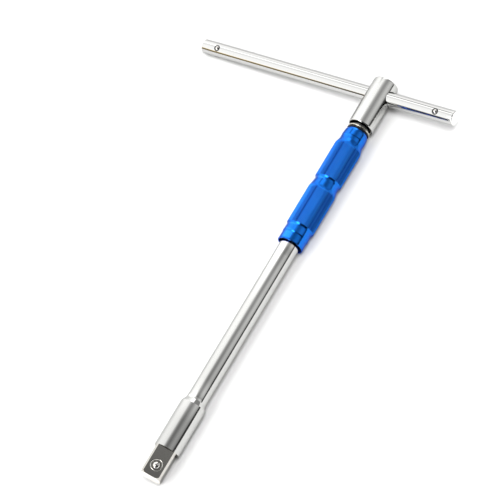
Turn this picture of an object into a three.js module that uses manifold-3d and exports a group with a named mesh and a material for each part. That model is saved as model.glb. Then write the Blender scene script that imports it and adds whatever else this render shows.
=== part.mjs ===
// T-handle socket wrench: a 1/2 in square drive on a long shaft, a spinning grip sleeve and a cross bar
// that slides through the head. Millimetres. The shaft runs along +Y from the drive's end face at the
// origin, the cross bar along X, and +Z is up as the tool lies on a bench.
import * as THREE from "three";
import { mergeVertices } from "three/addons/utils/BufferGeometryUtils.js";
import Module from "manifold-3d";

const wasm = await Module();
wasm.setup();

// ---- Driving dimensions ----
const SQUARE = 12.6; // across the flats of the drive
const SQUARE_LENGTH = 18.6;
const SQUARE_ROLL = 23; // degrees from +Z towards +X, the flat that holds the ball
const END_RADIUS = 7; // of the end face, inside its chamfer
const END_CHAMFER = 1.1;
const COLLAR_RADIUS = 8.1; // also the turned corners of the square
const COLLAR_END = 49.2;
const TAPER_RADIUS = 6.75; // of the collar's taper, where it runs out into the shaft
const TAPER_END = 51.8;
const SHAFT_RADIUS = 6.35;
const NECK_END = 53.6;
const SHAFT_CHAMFER = 0.8;

const GRIP_START = 165.6;
const GRIP_END = 252;
const GRIP_BORE = 6.6;
const MOUTH_RADIUS = 7.7;
const MOUTH_DEPTH = 4;

const RING_START = 167.8;
const RING_THICKNESS = 1.2;
const RING_OUTER = 7.4;
const RING_GROOVE = 5.8; // radius of the shaft groove the ring sits in
const RING_PLAY = 0.15; // at each side of the ring in its groove
const RING_OPENING = 40; // degrees

const WASHER_THICKNESS = 0.8;
const WASHER_RADIUS = 7.4;
const WASHER_GAP = 0.1; // above the sleeve
const SPRING_GAP = 0.08; // at each end of the grip's spring
const GRIP_WIRE = 1;
const GRIP_TURNS = 2.5;

const HEAD_START = 256.2;
const HEAD_END = 291.1;
const HEAD_RADIUS = 8.5;
const HEAD_ROUND = 1.6; // edge of the upper end
const HEAD_CHAMFER = 0.5; // edge of the lower end
const HEAD_RECESS = 5; // depth of the spring recess in the lower end
const RECESS_RADIUS = 7.7;
const HEAD_SOCKET_END = 273.6;
const CROSS_BORE = 5;

const BAR_Y = 281;
const BAR_RADIUS = 4.75;
const BAR_LENGTH = 190.6;
const BAR_OFFSET = -40.7; // middle of the bar from the shaft axis, as it lies
const BAR_CHAMFER = 0.6;
const BAR_BALL_REACH = 83; // each ball from the middle of the bar
const BAR_BALL_TILT = 19; // degrees from +Z towards -Y, as the bar lies

const GAP = 0.3; // between touching pieces
const BALL_FIT = 0.15; // round a ball

const DRIVE_CATCH = { ball: 2.5, proud: 1.3, mouth: 2.35, depth: 8.6, wire: 0.45, coil: 1.85, turns: 4 };
const BAR_CATCH = { ball: 1.6, proud: 0.8, mouth: 1.5, depth: 6.8, wire: 0.35, coil: 1.1, turns: 4 };
const BALL_Y = 7; // ball of the drive from its end face

// ---- Materials ----
const finish = (color, roughness, metalness) => new THREE.MeshStandardMaterial({ color, roughness, metalness });
const chrome = () => finish(0xd6d6d2, 0.12, 1);
const ballSteel = () => finish(0xe4e2dc, 0.15, 1);
const blackSteel = () => finish(0x1b1c20, 0.45, 0.8);
const springSteel = () => finish(0xb4b2aa, 0.3, 1);
const blueAnodise = () => finish(0x1464dc, 0.32, 0.85);

// ---- Solids ----
function toSolid(geometry) {
  const bare = geometry.index ? geometry.toNonIndexed() : geometry.clone();
  bare.deleteAttribute("normal");
  bare.deleteAttribute("uv");
  const merged = mergeVertices(bare, 1e-4);
  const vertProperties = new Float32Array(merged.attributes.position.array);
  const triVerts = new Uint32Array(merged.index.array);
  return new wasm.Manifold(new wasm.Mesh({ numProp: 3, vertProperties, triVerts }));
}

function toGeometry(solid) {
  const mesh = solid.getMesh();
  const geometry = new THREE.BufferGeometry();
  geometry.setAttribute("position", new THREE.BufferAttribute(mesh.vertProperties, 3));
  geometry.setIndex(new THREE.BufferAttribute(mesh.triVerts, 1));
  geometry.computeVertexNormals();
  return geometry;
}

// A solid of revolution about +Y from [radius, y] points, with its facets symmetric about the axes.
function lathe(points, segments) {
  const outline = points.map(([radius, y]) => new THREE.Vector2(radius, y));
  return new THREE.LatheGeometry(outline, segments);
}

// A ring or tube: an outline that closes on itself, with its outside run through upwards.
function closedLathe(points, segments) {
  return lathe([...points, points[0]], segments);
}

// Points of the rounded edge of an end, from the side wall to the flat, both left out.
function roundedEdge(radius, end, round, steps) {
  const points = [];
  for (let i = 1; i < steps; i += 1) {
    const angle = (i / steps) * (Math.PI / 2);
    points.push([radius - round * (1 - Math.cos(angle)), end - round * (1 - Math.sin(angle))]);
  }
  return points;
}

// A helix round +Y, for a coil spring between two heights.
class Helix extends THREE.Curve {
  constructor(radius, start, end, turns) {
    super();
    Object.assign(this, { radius, start, end, turns });
  }

  getPoint(t, target = new THREE.Vector3()) {
    const angle = t * this.turns * 2 * Math.PI;
    const y = this.start + (this.end - this.start) * t;
    return target.set(this.radius * Math.cos(angle), y, this.radius * Math.sin(angle));
  }
}

function coilSpring({ radius, start, end, wire, turns, sides = 8, stepsPerTurn = 14 }) {
  const section = new THREE.Shape();
  for (let i = 0; i < sides; i += 1) {
    const angle = (i / sides) * 2 * Math.PI;
    const point = [(wire / 2) * Math.cos(angle), (wire / 2) * Math.sin(angle)];
    if (i === 0) section.moveTo(...point);
    else section.lineTo(...point);
  }
  section.closePath();
  const extrudePath = new Helix(radius, start + wire / 2, end - wire / 2, turns);
  const steps = Math.round(turns * stepsPerTurn);
  return new THREE.ExtrudeGeometry(section, { steps, extrudePath, bevelEnabled: false });
}

// ---- Ball catches: a staked ball on a spring in a blind hole, drawn along +Y with the face at y = 0 ----
function catchHole({ ball, mouth, depth, wire }) {
  const bore = ball + BALL_FIT;
  const lip = wire;
  const outline = [[0, -depth], [bore, -depth], [bore, -lip], [mouth, -lip / 3], [mouth, 4], [0, 4]];
  return lathe(outline, 24);
}

function catchBall({ ball, proud }) {
  return new THREE.SphereGeometry(ball, 20, 14).translate(0, proud - ball, 0);
}

function catchSpring({ ball, proud, depth, wire, coil, turns }) {
  const restsUnder = Math.sqrt(ball ** 2 - coil ** 2);
  const end = proud - ball - restsUnder - wire / 2;
  return coilSpring({ radius: coil, start: GAP - depth, end, wire, turns, sides: 6, stepsPerTurn: 10 });
}

// The place of the drive's catch, on the flat that SQUARE_ROLL turns.
function onDriveFlat(geometry) {
  const turned = geometry.clone().rotateX(Math.PI / 2).translate(0, BALL_Y, SQUARE / 2);
  return turned.rotateY(THREE.MathUtils.degToRad(SQUARE_ROLL));
}

// The place of one catch of the cross bar, in the bar's own frame along X.
function onBar(geometry, x) {
  const turned = geometry.clone().rotateX(Math.PI / 2).translate(0, 0, BAR_RADIUS);
  return turned.rotateX(THREE.MathUtils.degToRad(BAR_BALL_TILT)).translate(x, 0, 0);
}

// ---- Drive shaft ----
function driveShaft() {
  const top = HEAD_SOCKET_END - GAP;
  const grooveStart = RING_START - RING_PLAY;
  const grooveEnd = RING_START + RING_THICKNESS + RING_PLAY;
  const body = lathe([
    [0, 0],
    [END_RADIUS, 0],
    [COLLAR_RADIUS, END_CHAMFER],
    [COLLAR_RADIUS, COLLAR_END],
    [TAPER_RADIUS, TAPER_END],
    [SHAFT_RADIUS, NECK_END],
    [SHAFT_RADIUS, grooveStart],
    [RING_GROOVE, grooveStart],
    [RING_GROOVE, grooveEnd],
    [SHAFT_RADIUS, grooveEnd],
    [SHAFT_RADIUS, top - SHAFT_CHAMFER],
    [SHAFT_RADIUS - SHAFT_CHAMFER, top],
    [0, top],
  ], 64);
  const beyond = 60;
  const square = new THREE.BoxGeometry(SQUARE, SQUARE_LENGTH + beyond, SQUARE);
  square.translate(0, (SQUARE_LENGTH - beyond) / 2, 0);
  square.rotateY(THREE.MathUtils.degToRad(SQUARE_ROLL));
  const rest = new THREE.BoxGeometry(beyond, HEAD_END, beyond).translate(0, SQUARE_LENGTH + HEAD_END / 2, 0);
  const envelope = toSolid(square).add(toSolid(rest));
  const hole = toSolid(onDriveFlat(catchHole(DRIVE_CATCH)));
  return toGeometry(toSolid(body).intersect(envelope).subtract(hole));
}

// ---- Head ----
function head() {
  const socket = SHAFT_RADIUS + GAP;
  const recessEnd = HEAD_START + HEAD_RECESS;
  const body = lathe([
    [0, HEAD_SOCKET_END],
    [socket, HEAD_SOCKET_END],
    [socket, recessEnd],
    [RECESS_RADIUS, recessEnd],
    [RECESS_RADIUS, HEAD_START],
    [HEAD_RADIUS - HEAD_CHAMFER, HEAD_START],
    [HEAD_RADIUS, HEAD_START + HEAD_CHAMFER],
    [HEAD_RADIUS, HEAD_END - HEAD_ROUND],
    ...roundedEdge(HEAD_RADIUS, HEAD_END, HEAD_ROUND, 4),
    [HEAD_RADIUS - HEAD_ROUND, HEAD_END],
    [0, HEAD_END],
  ], 64);
  const bore = new THREE.CylinderGeometry(CROSS_BORE, CROSS_BORE, 4 * HEAD_RADIUS, 40);
  bore.rotateZ(Math.PI / 2).translate(0, BAR_Y, 0);
  return toGeometry(toSolid(body).subtract(toSolid(bore)));
}

// ---- Cross bar, in its own frame: X from its middle ----
function crossBar(ballPlaces) {
  const half = BAR_LENGTH / 2;
  const outline = [[0, -half], [BAR_RADIUS - BAR_CHAMFER, -half], [BAR_RADIUS, BAR_CHAMFER - half]];
  outline.push([BAR_RADIUS, half - BAR_CHAMFER], [BAR_RADIUS - BAR_CHAMFER, half], [0, half]);
  let bar = toSolid(lathe(outline, 40).rotateZ(-Math.PI / 2));
  for (const x of ballPlaces) bar = bar.subtract(toSolid(onBar(catchHole(BAR_CATCH), x)));
  return toGeometry(bar);
}

// ---- Grip sleeve: turned bands, two barrels and a waist, bored for the shaft ----
function gripSleeve() {
  const outer = [
    [7.95, GRIP_START],
    [8.45, GRIP_START + 0.5],
    [8.3, 171.4],
    [8.6, 172],
    [8.3, 177.2],
    [9.1, 178.2],
    [9.1, 205.2],
    [8.1, 211.4],
    [8.1, 212.8],
    [8.95, 213.7],
    [8.95, 239.1],
    [7.95, 243.2],
    [7.9, 245.7],
    [8.05, 246.2],
    [7.7, 250.2],
    [7.2, 251.5],
    [GRIP_BORE + 0.2, GRIP_END],
  ];
  const inner = [
    [GRIP_BORE, GRIP_END],
    [GRIP_BORE, GRIP_START + MOUTH_DEPTH],
    [MOUTH_RADIUS, GRIP_START + MOUTH_DEPTH],
    [MOUTH_RADIUS, GRIP_START],
  ];
  return closedLathe([...outer, ...inner], 64);
}

function gripWasher() {
  const low = GRIP_END + WASHER_GAP;
  const high = low + WASHER_THICKNESS;
  return closedLathe([[GRIP_BORE, low], [WASHER_RADIUS, low], [WASHER_RADIUS, high], [GRIP_BORE, high]], 48);
}

function gripSpring() {
  const start = GRIP_END + WASHER_GAP + WASHER_THICKNESS + SPRING_GAP;
  const end = HEAD_START + HEAD_RECESS - SPRING_GAP;
  const radius = (SHAFT_RADIUS + RECESS_RADIUS) / 2;
  return coilSpring({ radius, start, end, wire: GRIP_WIRE, turns: GRIP_TURNS, stepsPerTurn: 24 });
}

// A flat open ring, drawn in the XY plane and turned to lie across the shaft.
function retainingRing() {
  const half = THREE.MathUtils.degToRad(RING_OPENING / 2);
  const inner = RING_GROOVE + RING_PLAY;
  const shape = new THREE.Shape();
  shape.absarc(0, 0, RING_OUTER, half, 2 * Math.PI - half, false);
  shape.absarc(0, 0, inner, 2 * Math.PI - half, half, true);
  shape.closePath();
  const ring = new THREE.ExtrudeGeometry(shape, { depth: RING_THICKNESS, bevelEnabled: false, curveSegments: 40 });
  return ring.rotateX(-Math.PI / 2).translate(0, RING_START, 0);
}

// ---- Assembly ----
const tool = new THREE.Group();

function addPiece(name, geometry, material, parent = tool) {
  const mesh = new THREE.Mesh(geometry, material);
  mesh.name = name;
  parent.add(mesh);
}

addPiece("drive_shaft", driveShaft(), chrome());
addPiece("drive_ball", onDriveFlat(catchBall(DRIVE_CATCH)), ballSteel());
addPiece("drive_ball_spring", onDriveFlat(catchSpring(DRIVE_CATCH)), springSteel());
addPiece("retaining_ring", retainingRing(), blackSteel());
addPiece("grip_sleeve", gripSleeve(), blueAnodise());
addPiece("grip_washer", gripWasher(), blackSteel());
addPiece("grip_spring", gripSpring(), springSteel());
addPiece("t_head", head(), chrome());

const barGroup = new THREE.Group();
barGroup.position.set(BAR_OFFSET, BAR_Y, 0);
tool.add(barGroup);
const catches = { left: -BAR_BALL_REACH, right: BAR_BALL_REACH };
addPiece("cross_bar", crossBar(Object.values(catches)), chrome(), barGroup);
for (const [side, x] of Object.entries(catches)) {
  addPiece(`bar_ball_${side}`, onBar(catchBall(BAR_CATCH), x), ballSteel(), barGroup);
  addPiece(`bar_ball_spring_${side}`, onBar(catchSpring(BAR_CATCH), x), springSteel(), barGroup);
}

export default tool;
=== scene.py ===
import math
import bpy
from mathutils import Matrix, Vector


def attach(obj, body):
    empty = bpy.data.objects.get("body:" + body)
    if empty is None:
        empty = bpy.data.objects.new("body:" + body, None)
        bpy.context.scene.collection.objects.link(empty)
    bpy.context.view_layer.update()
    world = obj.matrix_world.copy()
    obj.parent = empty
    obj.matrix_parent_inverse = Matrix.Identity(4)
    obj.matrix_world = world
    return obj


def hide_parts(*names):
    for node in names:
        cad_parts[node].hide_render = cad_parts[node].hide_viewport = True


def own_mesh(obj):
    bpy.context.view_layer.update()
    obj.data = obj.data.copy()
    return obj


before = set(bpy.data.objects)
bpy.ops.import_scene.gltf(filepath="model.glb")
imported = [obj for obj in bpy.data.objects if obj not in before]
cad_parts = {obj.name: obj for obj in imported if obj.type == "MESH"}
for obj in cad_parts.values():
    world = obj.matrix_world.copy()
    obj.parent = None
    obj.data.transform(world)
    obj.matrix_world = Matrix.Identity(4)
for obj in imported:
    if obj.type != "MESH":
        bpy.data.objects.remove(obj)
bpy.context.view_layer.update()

MM = 0.001
FINE = 192  # facets round a turned surface

# ---- Sizes of the tool, in millimetres. The main ones are the CAD model's ----
SQUARE = 12.6
SQUARE_LENGTH = 18.6
SQUARE_ROLL = math.radians(23)
END_RADIUS = 7.0
COLLAR_RADIUS = 8.1
COLLAR_END = 49.2
TAPER_LENGTH = 2.9
TAPER_STEP = 0.25  # by which the taper ends thicker than the shaft
NECK_LENGTH = 5.4  # from the collar to where the shaft is straight
SHAFT_RADIUS = 6.35
SHAFT_END = 273.3
SHAFT_CHAMFER = 0.8
SHAFT_ROUND = 0.35

GRIP_START = 165.6
GRIP_END = 252.0
GRIP_BORE = 6.6
GRIP_ROUND = 0.12
MOUTH_RADIUS = 7.7
MOUTH_DEPTH = 4.0
LOWER_BARREL = 9.1
LOWER_END = 205.2
UPPER_BARREL = 8.95
WAIST = 8.1
WAIST_START = 211.4
GRIP_OUTSIDE = (  # (radius, y) from the lower mouth up
    (MOUTH_RADIUS, GRIP_START), (8.45, GRIP_START), (8.3, 171.4), (8.6, 172.0), (8.3, 177.2),
    (LOWER_BARREL, 178.2), (LOWER_BARREL, LOWER_END), (WAIST, WAIST_START), (WAIST, 212.8),
    (UPPER_BARREL, 213.7), (UPPER_BARREL, 239.1), (7.95, 243.2), (7.9, 245.7), (8.05, 246.2),
    (7.7, 250.2), (7.2, 251.5), (GRIP_BORE + 0.2, GRIP_END),
)
KNURLS = ((178.2, 206.6), (213.7, 240.6))  # ribbed stretches of the grip
KNURL_LEAST = 8.0  # radius from which the outside is ribbed
RIBS = 72
RIB_DEPTH = 0.18
VALLEY_EVERY = 3
VALLEY_DEPTH = 0.05  # more, in every such groove

RING_START = 167.8
RING_THICKNESS = 1.2
RING_OUTER = 7.4
RING_INNER = 5.9
RING_GROOVE = 5.8
RING_PLAY = 0.15
RING_ROUND = 0.15
RING_OPENING = math.radians(40)

WASHER_START = 252.1
WASHER_END = 252.9
WASHER_RADIUS = 7.4
WASHER_MIDDLE = 7.0
WASHER_ROUND = 0.12

SPRING_RADIUS = 7.0
SPRING_WIRE = 1.0
SPRING_TURNS = 2.5
SPRING_BEGIN = math.radians(-120)  # from the tool's right, towards its top
SPRING_ENDS = (0.02, 0.05)  # gaps to the washer and to the head

HEAD_START = 256.2
HEAD_END = 291.1
HEAD_RADIUS = 8.5
HEAD_CHAMFER = (0.35, 0.5)
HEAD_ROUND = 1.5
HEAD_INNER_ROUND = 0.2
RECESS_RADIUS = 7.7
RECESS_END = 261.2
SOCKET_END = 273.6
SOCKET_PLAY = 0.3
CROSS_BORE = 5.0

BAR_Y = 281.0
BAR_RADIUS = 4.75
BAR_LENGTH = 190.6
BAR_OFFSET = -40.7
BAR_ROUND = 0.6

# A ball catch: a ball that stands proud of its face, on a spring in a bore with a spot face round it.
DRIVE_CATCH = {
    "ball": 2.5, "proud": 1.3, "depth": 8.6, "wire": 0.45, "coil": 1.85, "travel": 1.3,
    "spot_radius": 2.75, "spot_depth": 0.12,
}
BAR_CATCH = {
    "ball": 1.6, "proud": 0.8, "depth": 6.8, "wire": 0.35, "coil": 1.1, "travel": 0.8,
    "spot_radius": 2.05, "spot_depth": 0.3,
}
DRIVE_BALL_Y = 7.0
BAR_BALL_REACH = 83.0
BAR_BALL_TILT = math.radians(19)
BALL_FIT = 0.15  # room between a ball and its bore
LIP_OVERLAP = 0.02  # of the bore's lip over the ball
LIP_HEIGHT = 0.12
LIP_FOOT = 0.45  # where the bore starts to narrow to its lip
CATCH_FLARE = 0.1  # by which the lip and the spot face widen outwards
CATCH_ABOVE = 4.0  # height of the cutting body over the face
CATCH_TURNS = 5
CATCH_FLOOR = 0.05  # gap under the spring
CATCH_GAP = 0.22  # gap between the spring and the ball
STAKE = {"inner": 3.15, "outer": 3.75, "depth": 0.18, "flare": 0.15, "above": 0.4, "round": 0.25}

SIDEWAYS = Matrix.Rotation(-math.pi / 2, 4, "Z")  # turns +Y to +X


# ---- Outlines ----
STRAIGHT = math.radians(87)  # half an angle that is too flat to round
MOST_OF_SIDE = 0.45  # share of a side that a rounded corner may take


def fillet(points, radius, steps=5):
    """The polyline of (radius, y) points with each inner corner rounded."""
    rounded = [points[0]]
    for before, corner, after in zip(points, points[1:], points[2:]):
        here = Vector(corner)
        to_before = Vector(before) - here
        to_after = Vector(after) - here
        half = to_before.angle(to_after) / 2
        if half > STRAIGHT:
            rounded.append(corner)
            continue
        longest = MOST_OF_SIDE * min(to_before.length, to_after.length)
        reach = min(radius / math.tan(half), longest)
        start = here + to_before.normalized() * reach
        end = here + to_after.normalized() * reach
        middle = (to_before.normalized() + to_after.normalized()).normalized()
        centre = here + middle * (reach / math.cos(half))
        size = (start - centre).length
        for step in range(steps + 1):
            spoke = (start - centre).lerp(end - centre, step / steps)
            rounded.append(tuple(centre + spoke.normalized() * size))
    rounded.append(points[-1])
    return rounded


def subdivide(points, longest):
    """The polyline with its long stretches split, so that no stretch is longer than asked."""
    finer = [points[0]]
    for start, end in zip(points, points[1:]):
        count = max(1, math.ceil((Vector(end) - Vector(start)).length / longest))
        finer += [tuple(Vector(start).lerp(Vector(end), (i + 1) / count)) for i in range(count)]
    return finer


# ---- Meshes ----
def make_object(name, vertices, faces):
    mesh = bpy.data.meshes.new(name)
    mesh.from_pydata([Vector(v) * MM for v in vertices], [], faces)
    mesh.validate()
    piece = bpy.data.objects.new(name, mesh)
    bpy.context.scene.collection.objects.link(piece)
    return piece


def revolve(name, outline, segments=FINE, closed=False, ripple=None, matrix=None):
    """A body of revolution about +Y, from an outline of (radius, y) points.

    The outline starts and ends on the axis, or closes on itself. ripple(angle, radius, y) gives the
    radius of a surface that isn't round, such as a knurl.
    """
    vertices = []
    rings = []
    for radius, y in outline:
        if radius < 1e-6:
            rings.append([len(vertices)])
            vertices.append(Vector((0, y, 0)))
            continue
        rings.append(list(range(len(vertices), len(vertices) + segments)))
        for i in range(segments):
            angle = 2 * math.pi * i / segments
            r = ripple(angle, radius, y) if ripple else radius
            vertices.append(Vector((r * math.sin(angle), y, r * math.cos(angle))))
    pairs = list(zip(rings, rings[1:]))
    if closed:
        pairs.append((rings[-1], rings[0]))
    faces = []
    for low, high in pairs:
        for i in range(segments):
            j = (i + 1) % segments
            if len(low) == 1:
                faces.append((low[0], high[j], high[i]))
            elif len(high) == 1:
                faces.append((low[i], low[j], high[0]))
            else:
                faces.append((low[i], low[j], high[j], high[i]))
    if matrix:
        vertices = [matrix @ v for v in vertices]
    return make_object(name, vertices, faces)


def box_body(name, low, high, matrix=Matrix()):
    """A box between two corners, then placed by the matrix."""
    xs, ys, zs = zip(low, high)
    corners = [matrix @ Vector((x, y, z)) for x in xs for y in ys for z in zs]
    faces = [(0, 1, 3, 2), (4, 6, 7, 5), (0, 4, 5, 1), (2, 3, 7, 6), (0, 2, 6, 4), (1, 5, 7, 3)]
    return make_object(name, corners, faces)


def combine(piece, tool, operation):
    """Cuts the piece with the tool, or joins or intersects the two, and removes the tool."""
    modifier = piece.modifiers.new("combine", "BOOLEAN")
    modifier.object = tool
    modifier.operation = operation
    modifier.solver = "EXACT"
    graph = bpy.context.evaluated_depsgraph_get()
    mesh = bpy.data.meshes.new_from_object(piece.evaluated_get(graph))
    piece.modifiers.clear()
    piece.data = mesh
    bpy.data.objects.remove(tool)
    return piece


CLOSED_TURNS = 0.75  # at each end of a spring
CLOSED_PITCH = 0.6  # rise of a closed turn, in wires


def coil(name, radius, start, end, wire, turns, matrix=None, sides=16, per_turn=48, begin=0.0):
    """A round-wire spring about +Y with its end turns closed."""
    steps = round(turns * per_turn)
    closed_share = CLOSED_TURNS / turns
    closed_rise = CLOSED_TURNS * wire * CLOSED_PITCH
    low = start + wire / 2
    high = end - wire / 2

    def height(share):
        if share < closed_share:
            return low + closed_rise * share / closed_share
        if share > 1 - closed_share:
            return high - closed_rise * (1 - share) / closed_share
        middle = (share - closed_share) / (1 - 2 * closed_share)
        return low + closed_rise + (high - low - 2 * closed_rise) * middle

    vertices = []
    for step in range(steps + 1):
        share = step / steps
        angle = begin + 2 * math.pi * turns * share
        outward = Vector((math.cos(angle), 0, math.sin(angle)))
        middle = outward * radius + Vector((0, height(share), 0))
        for side in range(sides):
            around = 2 * math.pi * side / sides
            spoke = outward * math.cos(around) + Vector((0, math.sin(around), 0))
            vertices.append(middle + spoke * wire / 2)
    faces = [tuple(range(sides))]
    for step in range(steps):
        base = step * sides
        for side in range(sides):
            other = (side + 1) % sides
            faces.append((base + side, base + sides + side, base + sides + other, base + other))
    last = steps * sides
    faces.append(tuple(last + side for side in reversed(range(sides))))
    if matrix:
        vertices = [matrix @ v for v in vertices]
    return make_object(name, vertices, faces)


def ball(name, radius, matrix, segments=64):
    rings = segments // 2
    angles = [math.pi * i / rings for i in range(rings + 1)]
    arc = [(radius * math.sin(angle), -radius * math.cos(angle)) for angle in angles]
    return revolve(name, arc, segments, matrix=matrix)


def finish_piece(piece, material, body, slot, *nodes, sharp=28):
    """Smooth shading with crisp edges, a material, and the piece's place in the model."""
    mesh = piece.data
    mesh.shade_smooth()
    mesh.set_sharp_from_angle(angle=math.radians(sharp))
    mesh.materials.clear()
    mesh.materials.append(material)
    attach(piece, body)
    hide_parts(*nodes)
    return piece


# ---- Places of the ball catches: +Y of a catch points out of its surface, and its face is at 0 ----
STAND = Matrix.Rotation(math.pi / 2, 4, "X")
BALL_X = {"left": BAR_OFFSET - BAR_BALL_REACH, "right": BAR_OFFSET + BAR_BALL_REACH}
DRIVE_PLACE = (
    Matrix.Rotation(SQUARE_ROLL, 4, "Y") @ Matrix.Translation((0, DRIVE_BALL_Y, SQUARE / 2)) @ STAND
)


def bar_place(x):
    tilt = Matrix.Rotation(BAR_BALL_TILT, 4, "X")
    return Matrix.Translation((x, BAR_Y, 0)) @ tilt @ Matrix.Translation((0, 0, BAR_RADIUS)) @ STAND


# ---- Materials ----
class Nodes:
    """Shorthand calls that build a node tree."""

    def __init__(self, owner):
        owner.use_nodes = True
        self.nodes = owner.node_tree.nodes
        self.links = owner.node_tree.links

    def node(self, kind, **values):
        made = self.nodes.new(kind)
        for key, value in values.items():
            if key in made.inputs:
                made.inputs[key].default_value = value
            else:
                setattr(made, key, value)
        return made

    def link(self, source, target):
        """Feeds a socket from another one, or gives it a number."""
        if isinstance(source, (int, float)):
            target.default_value = source
        else:
            self.links.new(source, target)

    def math(self, operation, *values):
        made = self.node("ShaderNodeMath", operation=operation)
        for value, socket in zip(values, made.inputs):
            self.link(value, socket)
        return made.outputs[0]

    def spread(self, source, low, high, start, end, curve="LINEAR"):
        """From low to high while the source goes from start to end."""
        made = self.node("ShaderNodeMapRange", interpolation_type=curve)
        limits = {"From Min": start, "From Max": end, "To Min": low, "To Max": high}
        for name, value in limits.items():
            made.inputs[name].default_value = value
        self.link(source, made.inputs["Value"])
        return made.outputs["Result"]


class Shader(Nodes):
    """A principled material."""

    def __init__(self, name, base, metallic, roughness):
        self.material = bpy.data.materials.new(name)
        super().__init__(self.material)
        self.shader = self.nodes["Principled BSDF"]
        self.set("Base Color", (*base, 1))
        self.set("Metallic", metallic)
        self.set("Roughness", roughness)
        self.place = self.nodes.new("ShaderNodeTexCoord").outputs["Object"]

    def set(self, name, value):
        self.shader.inputs[name].default_value = value

    def feed(self, name, source):
        self.link(source, self.shader.inputs[name])

    def noise(self, scale, stretch=(1, 1, 1), detail=4.0):
        mapping = self.node("ShaderNodeMapping", Scale=stretch)
        self.link(self.place, mapping.inputs["Vector"])
        noise = self.node("ShaderNodeTexNoise", Scale=scale, Detail=detail)
        self.link(mapping.outputs["Vector"], noise.inputs["Vector"])
        return noise.outputs["Fac"]

    def vary(self, name, noise, low, high):
        """Feeds a socket with a noise's middle range, from low to high."""
        self.feed(name, self.spread(noise, low, high, 0.35, 0.65))

    def along(self, axis):
        """Place along an axis of the tool, in mm."""
        split = self.node("ShaderNodeSeparateXYZ")
        self.link(self.place, split.inputs[0])
        return self.math("MULTIPLY", split.outputs[axis], 1 / MM)

    def from_axis(self, place):
        """Distance in mm from the axis of a ball catch."""
        away = place.inverted()
        squares = []
        for row in (away[0], away[2]):
            dot = self.node("ShaderNodeVectorMath", operation="DOT_PRODUCT")
            self.link(self.place, dot.inputs[0])
            dot.inputs[1].default_value = [value / MM for value in row[:3]]
            across = self.math("ADD", dot.outputs["Value"], row[3])
            squares.append(self.math("MULTIPLY", across, across))
        return self.math("SQRT", self.math("ADD", *squares))

    def scaled(self, colour, level):
        made = self.node("ShaderNodeVectorMath", operation="SCALE")
        made.inputs[0].default_value = colour
        self.link(level, made.inputs["Scale"])
        return made.outputs["Vector"]

    def bump(self, height, distance, strength):
        bump = self.node("ShaderNodeBump", Strength=strength, Distance=distance)
        self.link(height, bump.inputs["Height"])
        self.feed("Normal", bump.outputs["Normal"])


PLATE = (0.58, 0.58, 0.565)
PLATE_RIM = 0.55  # tint of the plate's reflections at a grazing angle
THIN_PLATE = (1.0, 0.975, 0.935)  # tint of the steel that shows through
PAINTED_FACE_GAIN = 1.72  # painted highlight: how much brighter the plate is painted on a flat end face
FACE_DEPTH = (0.1, 0.06)  # mm inside the face where its painted brightness starts and is full
RECESS_SHADE = {"inner": 1.2, "outer": 2.2, "share": 0.12}  # painted shade: a dark ring over the recess round a ball, and the tint that is left
RECESS_SHADE_EDGE = (0.15, 0.25)  # mm, inside and outside
GAP_SHADE_SHARE = 0.15  # of the tint, left in the painted shade on the shaft between grip and head
GAP_SHADE_EDGE = 0.2
THIN_EDGE = 0.2


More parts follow.
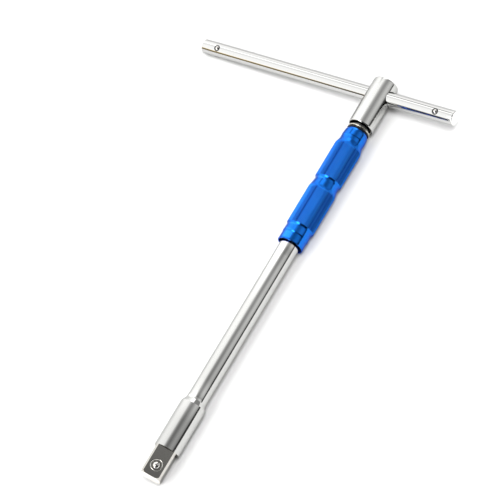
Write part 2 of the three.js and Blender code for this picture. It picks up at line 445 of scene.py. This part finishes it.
def chrome(
    name, roughness=0.07, tint=PLATE, brushed=(1, 1, 1),
    shaded_catches=(), faces=(), thin_until=None, gap_shade_from=None,
):
    """Polished plate, with faint smudges in its gloss and fine polishing marks along one direction.

    Round each ball catch given before faces, the colour is darker in a ring: painted shade of the
    recess round the ball. Each of faces is (axis, place, side), a flat end whose plate is painted
    brighter with a paler rim tint: a painted highlight. Up to thin_until (mm along the tool) the plate
    is thin and warmer. From the last argument on (mm along the tool) the plate is darker: painted
    shade on the shaft in the gap between the grip and the head.
    """
    look = Shader(name, tint, 1.0, roughness)
    look.set("Specular Tint", (PLATE_RIM, PLATE_RIM, PLATE_RIM, 1))
    shares = []
    # Painted shade: a darker ring round each ball catch, over its recess.
    for place in shaded_catches:
        away = look.from_axis(place)
        inside = look.spread(away, 0, 1, RECESS_SHADE["inner"] - RECESS_SHADE_EDGE[0], RECESS_SHADE["inner"])
        outside = look.spread(away, 1, 0, RECESS_SHADE["outer"] - RECESS_SHADE_EDGE[1], RECESS_SHADE["outer"])
        shares.append(look.spread(look.math("MULTIPLY", inside, outside), 1, RECESS_SHADE["share"], 0, 1))
    # Painted highlight: flat end faces painted brighter, and their rim tint paler.
    if faces:
        starts, full = FACE_DEPTH
        painted_bright = [
            look.spread(look.along(axis), 0, 1, place - starts * side, place - full * side)
            for axis, place, side in faces
        ]
        painted_bright = look.math("ADD", *painted_bright) if len(painted_bright) > 1 else painted_bright[0]
        shares.append(look.spread(painted_bright, 1, PAINTED_FACE_GAIN, 0, 1))
        look.feed("Specular Tint", look.spread(painted_bright, PLATE_RIM, 1, 0, 1))
    # Painted shade: the shaft darker from the grip's end on, in the gap by the head.
    if gap_shade_from:
        edge = (gap_shade_from - GAP_SHADE_EDGE, gap_shade_from + GAP_SHADE_EDGE)
        shares.append(look.spread(look.along("Y"), 1, GAP_SHADE_SHARE, *edge))
    if shares:
        level = shares[0]
        for share in shares[1:]:
            level = look.math("MULTIPLY", level, share)
        colour = look.scaled(tint, level)
        if thin_until:
            thin = look.spread(look.along("Y"), 0, 1, thin_until + THIN_EDGE, thin_until)
            blend = look.node("ShaderNodeMix", data_type="RGBA", blend_type="MULTIPLY")
            look.link(colour, blend.inputs["A"])
            blend.inputs["B"].default_value = (*THIN_PLATE, 1)
            look.link(thin, blend.inputs["Factor"])
            colour = blend.outputs["Result"]
        look.feed("Base Color", colour)
    look.vary("Roughness", look.noise(60, detail=5), roughness * 0.8, roughness * 1.6)
    look.bump(look.noise(900, brushed, detail=2), 0.000002, 0.5)
    return look.material


ANODISE = (0.0, 0.148, 0.66)
KNURL_SHADE_SHARE = 0.72  # of the tint, left on the ribbed stretches: painted shade between the ribs
KNURL_FADES = ((-0.3, 0.3), (-2.5, -1.5))  # mm, from the start and from the end of the ribs


def anodised():
    """Blue dyed oxide on aluminium: tinted metal under a thin clear layer, turning marks, painted shade on
    the ribs.
    """
    look = Shader("blue_anodise", ANODISE, 1.0, 0.15)
    height = look.along("Y")
    bands = []
    for start, end in KNURLS:
        rising = look.spread(height, 0, 1, *(start + fade for fade in KNURL_FADES[0]))
        falling = look.spread(height, 1, 0, *(end + fade for fade in KNURL_FADES[1]))
        bands.append(look.math("MULTIPLY", rising, falling))
    # Painted shade: the ribbed stretches are darker, for the shade between the ribs.
    share = look.spread(look.math("ADD", *bands), 1, KNURL_SHADE_SHARE, 0, 1)
    look.feed("Base Color", look.scaled(ANODISE, share))
    look.vary("Roughness", look.noise(45, detail=5), 0.11, 0.18)
    look.bump(look.noise(300, (0.4, 9, 0.4), detail=2), 0.000004, 0.6)
    look.set("Specular Tint", (0.1, 0.3, 0.5, 1))
    look.set("Coat Weight", 0.3)
    look.set("Coat Roughness", 0.08)
    return look.material


def wire_steel():
    look = Shader("spring_steel", (0.56, 0.54, 0.47), 1.0, 0.24)
    look.vary("Roughness", look.noise(700, detail=3), 0.18, 0.36)
    return look.material


def black_oxide():
    look = Shader("black_steel", (0.02, 0.021, 0.026), 0.75, 0.4)
    grain = look.noise(1500, detail=4)
    look.vary("Roughness", grain, 0.32, 0.5)
    look.bump(grain, 0.00002, 0.4)
    return look.material


ALONG_Y = (1, 6, 1)
ALONG_X = (6, 1, 1)
CHROME_SHAFT = chrome(
    "chrome_shaft", brushed=ALONG_Y, faces=[("Y", 0, -1)], thin_until=SQUARE_LENGTH, gap_shade_from=GRIP_END
)
CHROME_HEAD = chrome("chrome_head", 0.08, brushed=ALONG_Y, faces=[("Y", HEAD_END, 1)])
CHROME_BAR = chrome(
    "chrome_bar", 0.06, (0.57, 0.57, 0.56), ALONG_X, [bar_place(x) for x in BALL_X.values()],
    [("X", BAR_OFFSET + side * BAR_LENGTH / 2, side) for side in (-1, 1)],
)
BALL_STEEL = chrome("ball_steel", 0.05, (0.60, 0.585, 0.56))
BLUE = anodised()
SPRING_STEEL = wire_steel()
BLACK_STEEL = black_oxide()


# ---- Drive shaft ----
def seat_tool(name, spec, place):
    """The space of a ball catch: bore, lip and a spot face round the ball."""
    bore = spec["ball"] + BALL_FIT
    lip = spec["ball"] - LIP_OVERLAP
    spot = -spec["spot_depth"]
    outline = [
        (0, -spec["depth"]),
        (bore, -spec["depth"]),
        (bore, spot - LIP_FOOT),
        (lip, spot - LIP_HEIGHT),
        (lip + CATCH_FLARE, spot),
        (spec["spot_radius"], spot),
        (spec["spot_radius"] + CATCH_FLARE, CATCH_ABOVE),
        (0, CATCH_ABOVE),
    ]
    return revolve(name, outline, 96, matrix=place)


def stake_groove(name, place):
    """The pressed ring that keeps the drive's ball in its hole."""
    inner, outer = STAKE["inner"], STAKE["outer"]
    outline = [
        (inner - STAKE["flare"], STAKE["above"]),
        (inner, 0),
        ((inner + outer) / 2, -STAKE["depth"]),
        (outer, 0),
        (outer + STAKE["flare"], STAKE["above"]),
    ]
    return revolve(name, fillet(outline, STAKE["round"]), 96, closed=True, matrix=place)


def drive_shaft():
    ring_low = RING_START - RING_PLAY
    ring_high = RING_START + RING_THICKNESS + RING_PLAY
    outline = [
        (0, 0),
        (END_RADIUS, 0),
        (COLLAR_RADIUS, COLLAR_RADIUS - END_RADIUS),
        (COLLAR_RADIUS, COLLAR_END),
        (SHAFT_RADIUS + TAPER_STEP, COLLAR_END + TAPER_LENGTH),
        (SHAFT_RADIUS, COLLAR_END + NECK_LENGTH),
        (SHAFT_RADIUS, ring_low),
        (RING_GROOVE, ring_low),
        (RING_GROOVE, ring_high),
        (SHAFT_RADIUS, ring_high),
        (SHAFT_RADIUS, SHAFT_END - SHAFT_CHAMFER),
        (SHAFT_RADIUS - SHAFT_CHAMFER, SHAFT_END),
        (0, SHAFT_END),
    ]
    piece = revolve("shaft", subdivide(fillet(outline, SHAFT_ROUND), longest=12))
    # The square and everything behind it, to cut the round bar with.
    flat = SQUARE / 2
    overlap = 5
    wide = 20
    roll = Matrix.Rotation(SQUARE_ROLL, 4, "Y")
    square = box_body("square", (-flat, -overlap, -flat), (flat, SQUARE_LENGTH + overlap, flat), roll)
    rest = box_body("rest", (-wide, SQUARE_LENGTH, -wide), (wide, SHAFT_END + wide, wide))
    combine(piece, combine(square, rest, "UNION"), "INTERSECT")
    combine(piece, seat_tool("seat", DRIVE_CATCH, DRIVE_PLACE), "DIFFERENCE")
    combine(piece, stake_groove("stake", DRIVE_PLACE), "DIFFERENCE")
    return finish_piece(piece, CHROME_SHAFT, "shaft_and_head", "drive_steel", "drive_shaft")


# ---- Head ----
def t_head():
    socket = SHAFT_RADIUS + SOCKET_PLAY
    inner = [
        (0, SOCKET_END),
        (socket, SOCKET_END),
        (socket, RECESS_END),
        (RECESS_RADIUS, RECESS_END),
        (RECESS_RADIUS, HEAD_START),
        (HEAD_RADIUS - HEAD_CHAMFER[0], HEAD_START),
        (HEAD_RADIUS, HEAD_START + HEAD_CHAMFER[1]),
    ]
    outer = [inner[-1], (HEAD_RADIUS, HEAD_END), (0, HEAD_END)]
    outline = fillet(inner, HEAD_INNER_ROUND) + fillet(outer, HEAD_ROUND, steps=10)[1:]
    piece = revolve("head", subdivide(outline, longest=6))
    sideways = Matrix.Translation((0, BAR_Y, 0)) @ SIDEWAYS
    reach = 2 * HEAD_RADIUS
    outline = [(0, -reach), (CROSS_BORE, -reach), (CROSS_BORE, reach), (0, reach)]
    combine(piece, revolve("bore", outline, 160, matrix=sideways), "DIFFERENCE")
    return finish_piece(piece, CHROME_HEAD, "shaft_and_head", "chrome", "t_head")


# ---- Cross bar ----
def cross_bar():
    half = BAR_LENGTH / 2
    outline = [(0, -half), (BAR_RADIUS, -half), (BAR_RADIUS, half), (0, half)]
    sideways = Matrix.Translation((BAR_OFFSET, BAR_Y, 0)) @ SIDEWAYS
    outline = subdivide(fillet(outline, BAR_ROUND, steps=6), longest=8)
    piece = revolve("bar", outline, matrix=sideways)
    for side, x in BALL_X.items():
        combine(piece, seat_tool("seat_" + side, BAR_CATCH, bar_place(x)), "DIFFERENCE")
    return finish_piece(piece, CHROME_BAR, "bar", "chrome", "cross_bar")


# ---- Grip ----
RIB_SHAPE = 0.8  # below 1 for broad grooves and narrow crests
VALLEY_SHAPE = 5  # above 1 for a narrow valley


def ribbed(angle, radius, y):
    """The sleeve's radius, with straight ribs on its two barrels."""
    if radius < KNURL_LEAST or not any(start < y < end for start, end in KNURLS):
        return radius
    crest = LOWER_BARREL if y < WAIST_START else UPPER_BARREL
    groove = 0.5 + 0.5 * math.cos(angle * RIBS)
    valley = 0.5 + 0.5 * math.cos(angle * RIBS / VALLEY_EVERY)
    return min(radius, crest - RIB_DEPTH * groove ** RIB_SHAPE - VALLEY_DEPTH * valley ** VALLEY_SHAPE)


def grip_sleeve():
    bore_end = GRIP_START + MOUTH_DEPTH
    inside = [(GRIP_BORE, GRIP_END), (GRIP_BORE, bore_end), (MOUTH_RADIUS, bore_end)]
    outline = subdivide(fillet(GRIP_OUTSIDE, GRIP_ROUND, steps=3) + inside, longest=1.5)
    piece = revolve("grip", outline, RIBS * 8, closed=True, ripple=ribbed)
    return finish_piece(piece, BLUE, "grip", "blue_anodise", "grip_sleeve")


def thrust_washer():
    start = (WASHER_MIDDLE, WASHER_START)
    corners = [start, (WASHER_RADIUS, WASHER_START), (WASHER_RADIUS, WASHER_END)]
    corners += [(GRIP_BORE, WASHER_END), (GRIP_BORE, WASHER_START), start]
    piece = revolve("washer", fillet(corners, WASHER_ROUND)[:-1], 128, closed=True)
    return finish_piece(piece, BLACK_STEEL, "thrust_washer", "black_steel", "grip_washer")


def retaining_ring():
    low = RING_START
    high = RING_START + RING_THICKNESS
    corners = [(RING_INNER, low), (RING_OUTER, low), (RING_OUTER, high), (RING_INNER, high)]
    section = fillet(corners + corners[:2], RING_ROUND)[1:-1]
    steps = 120
    vertices = []
    for step in range(steps + 1):
        angle = math.pi / 2 + RING_OPENING / 2 + (2 * math.pi - RING_OPENING) * step / steps
        vertices += [Vector((r * math.sin(angle), y, r * math.cos(angle))) for r, y in section]
    count = len(section)
    faces = [tuple(reversed(range(count)))]
    for step in range(steps):
        for i in range(count):
            j = (i + 1) % count
            base = step * count
            faces.append((base + i, base + count + i, base + count + j, base + j))
    faces.append(tuple(steps * count + i for i in range(count)))
    piece = make_object("snap_ring", vertices, faces)
    return finish_piece(piece, BLACK_STEEL, "shaft_and_head", "black_steel", "retaining_ring")


def grip_spring():
    start = WASHER_END + SPRING_ENDS[0]
    end = RECESS_END - SPRING_ENDS[1]
    piece = coil(
        "spring", SPRING_RADIUS, start, end, SPRING_WIRE, SPRING_TURNS, per_turn=72, begin=SPRING_BEGIN
    )
    finish_piece(piece, SPRING_STEEL, "shaft_and_head", "spring_steel", "grip_spring")
    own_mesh(piece)
    return piece


# ---- Ball catches ----
def ball_and_spring(name, spec, place, ball_body, spring_body, ball_node, spring_node):
    middle = spec["proud"] - spec["ball"]
    shine = ball(name, spec["ball"], place @ Matrix.Translation((0, middle, 0)))
    finish_piece(shine, BALL_STEEL, ball_body, "ball_steel", ball_node)
    start = CATCH_FLOOR - spec["depth"]
    end = middle - math.sqrt(spec["ball"] ** 2 - spec["coil"] ** 2) - CATCH_GAP
    piece = coil(
        name + "_coil", spec["coil"], start, end, spec["wire"], CATCH_TURNS, place, sides=10, per_turn=24
    )
    finish_piece(piece, SPRING_STEEL, spring_body, "spring_steel", spring_node)
    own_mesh(piece)


drive_shaft()
t_head()
cross_bar()
grip_sleeve()
thrust_washer()
retaining_ring()
grip_spring()
ball_and_spring(
    "ball_of_drive", DRIVE_CATCH, DRIVE_PLACE,
    "drive_ball", "shaft_and_head", "drive_ball", "drive_ball_spring",
)
for side, x in BALL_X.items():
    ball_and_spring(
        "ball_of_bar_" + side, BAR_CATCH, bar_place(x),
        "ball_" + side, "bar", "bar_ball_" + side, "bar_ball_spring_" + side,
    )


# ---- Bench: the tool lies on its collar, its grip and the low end of its cross bar ----
BENCH_GAP = 0.03  # mm under each of the three
BENCH_REACH = 4000
BENCH_MIDDLE = 100  # from the first of the three, towards the second


def bench():
    first = Vector((0, COLLAR_END, -COLLAR_RADIUS - BENCH_GAP))
    second = Vector((0, LOWER_END, -LOWER_BARREL - BENCH_GAP))
    third = Vector((BAR_OFFSET - BAR_LENGTH / 2, BAR_Y, -BAR_RADIUS - BENCH_GAP))
    along = (second - first).normalized()
    across = (third - first) - along * (third - first).dot(along)
    across.normalize()
    middle = first + along * BENCH_MIDDLE
    corners = ((1, 1), (1, -1), (-1, -1), (-1, 1))
    vertices = [middle + along * a * BENCH_REACH + across * b * BENCH_REACH for a, b in corners]
    if (vertices[1] - vertices[0]).cross(vertices[2] - vertices[0]).z < 0:
        vertices.reverse()
    floor = make_object("bench", vertices, [(0, 1, 2, 3)])
    look = Shader("bench_top", (0.6, 0.6, 0.6), 0.0, 0.75)
    look.vary("Roughness", look.noise(3, detail=2), 0.7, 0.8)
    floor.data.materials.append(look.material)


# ---- Studio: a bright room to the left and behind, a dim one to the right and in front ----
# Its brightness depends on the direction (x, y, z): x to the tool's right, y along it to the head and z up.
# Roll is the direction's angle about the tool, in radians from straight up towards the right. A pair in
# brackets is where a change starts and ends.
SIDES = (  # brightness by roll, in degrees
    (-90, 1.3), (-76, 1.6), (-60, 1.75), (-42, 1.7), (-29, 1.65), (-13, 1.5), (-3, 0.85),
    (8, 0.52), (20, 0.42), (31, 0.58), (43, 0.8), (54, 0.9), (66, 0.78), (74, 0.6),
    (79, 0.12), (86, 0.06), (90, 0.2),
)
RAMP_SCALE = 2.0  # colours of a ramp are kept below 1
SKEW = 0.6  # radians of roll by which the sides turn for each unit of y
SKEW_FROM = 0.3  # where they are not turned
SKEW_LEAST = 0.19  # below this y they turn no further
OPEN = 5  # a limit so high that it leaves the brightness alone
GLOW_AIM = Vector((-0.10, -0.50, 0.86)).normalized()
GLOW_ANGLES = (math.cos(math.radians(13)), math.cos(math.radians(7)))
GLOW_LEVEL = 6
STRIP_LEVEL = 5
WARM = (1.3, 1.0, 0.5, 1)  # the colour of the band along the horizon, to the left


class Studio(Nodes):
    def __init__(self):
        world = bpy.data.worlds.new("studio")
        bpy.context.scene.world = world
        super().__init__(world)
        self.nodes.clear()
        self.direction = self.nodes.new("ShaderNodeTexCoord").outputs["Generated"]
        split = self.nodes.new("ShaderNodeSeparateXYZ")
        self.link(self.direction, split.inputs["Vector"])
        self.x, self.y, self.z = split.outputs
        self.roll = self.math("ARCTAN2", self.x, self.z)

    def ease(self, source, limits, low=0, high=1):
        return self.spread(source, low, high, *limits, curve="SMOOTHSTEP")

    def times(self, first, *others):
        for other in others:
            first = self.math("MULTIPLY", first, other)
        return first

    def mix(self, share, first, second):
        made = self.nodes.new("ShaderNodeMix")
        for name, value in (("Factor", share), ("A", first), ("B", second)):
            self.link(value, made.inputs[name])
        return made.outputs["Result"]

    def ramp(self, source, stops):
        made = self.nodes.new("ShaderNodeValToRGB")
        elements = made.color_ramp.elements
        elements.remove(elements[1])
        for number, (position, level) in enumerate(stops):
            stop = elements[0] if number == 0 else elements.new(position)
            stop.position = position
            stop.color = (level, level, level, 1)
        self.link(source, made.inputs["Fac"])
        return made.outputs["Color"]

    def sides(self):
        """The two sides. What the grip looks at is dimmer on the right and brighter on the left."""
        y, roll = self.y, self.roll
        skew = self.math("MULTIPLY_ADD", self.math("MAXIMUM", y, SKEW_LEAST), SKEW, -SKEW * SKEW_FROM)
        turned = self.math("MULTIPLY_ADD", self.math("SUBTRACT", roll, skew), 1 / (2 * math.pi), 0.5)
        ramp = self.ramp(turned, [(0.5 + angle / 360, level / RAMP_SCALE) for angle, level in SIDES])
        side = self.times(ramp, RAMP_SCALE)
        grip = self.times(self.ease(y, (0.32, 0.345)), self.ease(y, (0.39, 0.405), 1, 0))
        right = self.times(side, self.ease(y, (0.16, 0.33), 0.36, 1.08), self.mix(grip, 1.0, 0.6))
        grip = self.times(self.ease(y, (0.31, 0.345), 0, 0.8), self.ease(y, (0.385, 0.41), 1, 0))
        near = self.math("MAXIMUM", self.ease(y, (0.19, 0.3), 0.82, 1), self.ease(y, (-0.15, 0.05), 1, 0.82))
        left = self.times(side, self.math("ADD", grip, near))
        return self.mix(self.ease(roll, (-0.2, 0.15)), left, right)

    def far_end(self, level):
        """The wall behind the head instead of the sides, darker to the right."""
        wall = self.mix(self.ease(self.x, (-0.40, -0.30)), 1.55, 2.6)
        wall = self.mix(self.ease(self.z, (0.05, 0.3)), 1.05, wall)
        wall = self.mix(self.ease(self.roll, (-0.1, 0.3)), wall, 0.45)
        level = self.mix(self.ease(self.y, (0.60, 0.85)), level, wall)
        dimmed = self.mix(self.ease(self.roll, (0.0, 0.3)), 1.0, self.ease(self.y, (0.45, 0.55), 1, 0.8))
        return self.times(level, dimmed)

    def outside_seam(self):
        """1, and less in a dark seam on the left, before the far end."""
        seam = self.times(
            self.ease(self.y, (0.44, 0.50)), self.ease(self.y, (0.60, 0.66), 1, 0),
            self.ease(self.x, (-0.58, -0.44), 0, 0.7), self.ease(self.x, (-0.40, -0.30), 1, 0),
        )
        return self.math("SUBTRACT", 1.0, seam)

    def outside_patch(self):
        """1, and less in a dark patch far to the right, where the drive's chamfer looks."""
        patch = self.times(self.ease(self.x, (0.6, 0.7), 0, 0.9), self.ease(self.y, (0.1, 0.15), 1, 0))
        return self.math("SUBTRACT", 1.0, patch)

    def shade(self):
        """A limit: the dark room in front, which reaches less far to the left."""
        lean = self.math("MINIMUM", self.math("MULTIPLY_ADD", self.x, 4, 1.46), 0.35)
        return self.ease(self.math("SUBTRACT", lean, self.y), (0.62, 0.85), OPEN, 0.1)

    def above_horizon(self):
        """0 in the dark band along the horizon, far in front of the drive, and 1 elsewhere."""
        height = self.math("SUBTRACT", self.z, self.ease(self.x, (0.0, 0.2), 0, 0.3))
        return self.math("MAXIMUM", self.ease(height, (0.32, 0.47)), self.ease(self.y, (-0.7, -0.5)))

    def glow(self):
        """A lamp in front and a strip of light to its left."""
        aim = self.node("ShaderNodeVectorMath", operation="DOT_PRODUCT")
        aim.inputs[1].default_value = GLOW_AIM
        self.link(self.direction, aim.inputs[0])
        lamp = self.ease(aim.outputs["Value"], GLOW_ANGLES, 0, GLOW_LEVEL)
        strip = self.times(
            self.ease(self.x, (-0.37, -0.31), 0, STRIP_LEVEL), self.ease(self.x, (-0.02, 0.05), 1, 0),
            self.ease(self.y, (-0.42, -0.32), 1, 0),
        )
        return self.math("MAXIMUM", lamp, strip)


def studio_world():
    studio = Studio()
    above = studio.above_horizon()
    horizon = studio.mix(above, studio.ease(studio.x, (-0.54, -0.43), 0.24, 0.08), OPEN)
    level = studio.times(studio.far_end(studio.sides()), studio.outside_seam())
    for limit in (studio.shade(), horizon):
        level = studio.math("MINIMUM", level, limit)
    level = studio.math("ADD", level, studio.glow())

    background = studio.nodes.new("ShaderNodeBackground")
    studio.link(studio.times(level, studio.outside_patch()), background.inputs["Strength"])
    tone = studio.node("ShaderNodeMix", data_type="RGBA")
    tone.inputs["A"].default_value = (1, 1, 1, 1)
    tone.inputs["B"].default_value = WARM
    warmth = studio.mix(above, studio.ease(studio.x, (-0.54, -0.44), 1, 0), 0)
    studio.link(warmth, tone.inputs["Factor"])
    studio.link(tone.outputs["Result"], background.inputs["Color"])
    output = studio.nodes.new("ShaderNodeOutputWorld")
    studio.link(background.outputs[0], output.inputs["Surface"])


def soft_light(name, place, aim, size, power):
    data = bpy.data.lights.new(name, "AREA")
    data.shape = "DISK"
    data.size = size
    data.energy = power
    lamp = bpy.data.objects.new(name, data)
    lamp.location = place
    lamp.rotation_euler = (Vector(aim) - Vector(place)).to_track_quat("-Z", "Y").to_euler()
    lamp.visible_glossy = False  # what the tool reflects is the studio alone
    bpy.context.scene.collection.objects.link(lamp)


# ---- Camera: at the tool's drive end, above and to its right, held at a slant ----
CAMERA_PLACE = Vector((0.5289, -0.1997, 0.8693))
CAMERA_AIM = Vector((-0.0227, 0.1540, 0.0))
CAMERA_SLANT = math.radians(31.57)
CAMERA_LENS = 128.7


def camera():
    data = bpy.data.cameras.new("camera")
    data.lens = CAMERA_LENS
    data.sensor_width = 36
    eye = bpy.data.objects.new("camera", data)
    bpy.context.scene.collection.objects.link(eye)
    level = (CAMERA_AIM - CAMERA_PLACE).to_track_quat("-Z", "Y").to_matrix().to_4x4()
    slant = Matrix.Rotation(-CAMERA_SLANT, 4, "Z")
    eye.matrix_world = Matrix.Translation(CAMERA_PLACE) @ level @ slant
    bpy.context.scene.camera = eye


bench()
studio_world()
soft_light("key", (0.62, 0.12, 1.35), (0, 0.15, 0), 0.75, 25)
soft_light("front", (-0.3, -0.9, 0.9), (0, 0.1, 0), 0.7, 2.5)
camera()
scene = bpy.context.scene
scene.view_settings.view_transform = "Standard"
